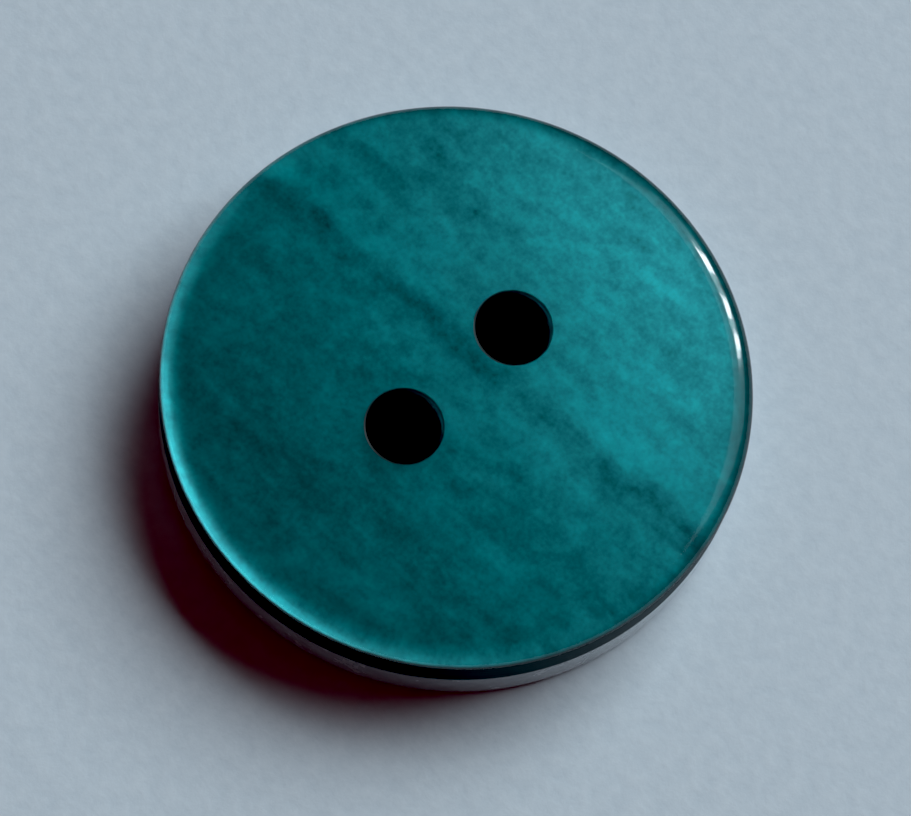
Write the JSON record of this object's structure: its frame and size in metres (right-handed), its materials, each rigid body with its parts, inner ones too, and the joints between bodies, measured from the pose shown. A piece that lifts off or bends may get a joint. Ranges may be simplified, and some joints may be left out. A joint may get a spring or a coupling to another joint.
{
  "type": "sew on button",
  "caption": "Flat round sew-through button in pearl-effect resin, with a clear face layer, a rounded face shoulder and through holes for thread.",
  "frame": {"origin": "centre of the flat back face, on the button's centre line", "axes": "+Z out of the front face along the thread holes, +X along the line through both thread holes"},
  "size_m": [0.015, 0.015, 0.0027],
  "materials": {
    "clear_resin": "clear polished polyester",
    "teal_pearl_resin": "polished pearl-effect polyester, softly streaked",
    "pale_backing_resin": "polished opaque polyester"
  },
  "bodies": {
    "root": {"clear_face_layer": "clear_resin", "teal_pearl_layer": "teal_pearl_resin", "pale_backing_layer": "pale_backing_resin"}
  },
  "joints": []
}
